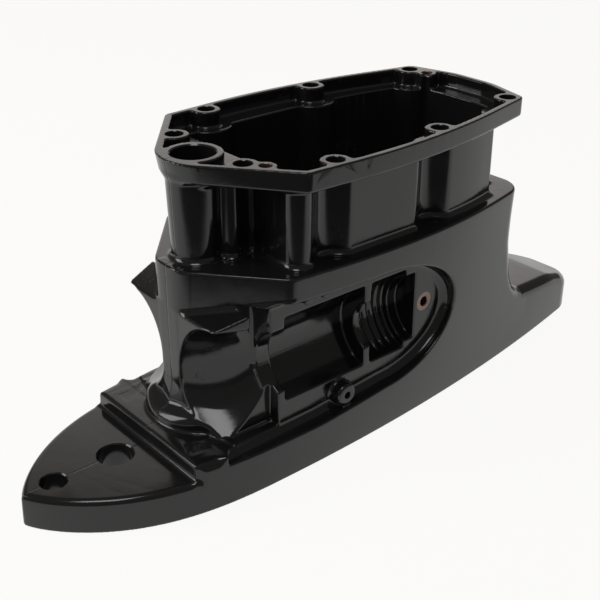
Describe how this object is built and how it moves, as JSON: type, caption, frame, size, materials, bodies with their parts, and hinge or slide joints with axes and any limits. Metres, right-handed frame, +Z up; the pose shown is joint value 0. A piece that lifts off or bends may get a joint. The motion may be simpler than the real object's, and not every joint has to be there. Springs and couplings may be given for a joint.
{
  "type": "outboard motor midsection",
  "caption": "Cast midsection of an outboard motor: a narrow base flange with nose pad and tail, side pockets for rubber mounts, and a drafted box with a bolted top flange.",
  "frame": {"origin": "on the base face, midway along the base flange and on the middle plane", "axes": "+X aft towards the tail, +Y to port, +Z up towards the powerhead"},
  "size_m": [0.46, 0.1382, 0.1895],
  "materials": {
    "housing_paint": "gloss"
  },
  "bodies": {
    "root": {"driveshaft_housing": "housing_paint"}
  },
  "joints": []
}
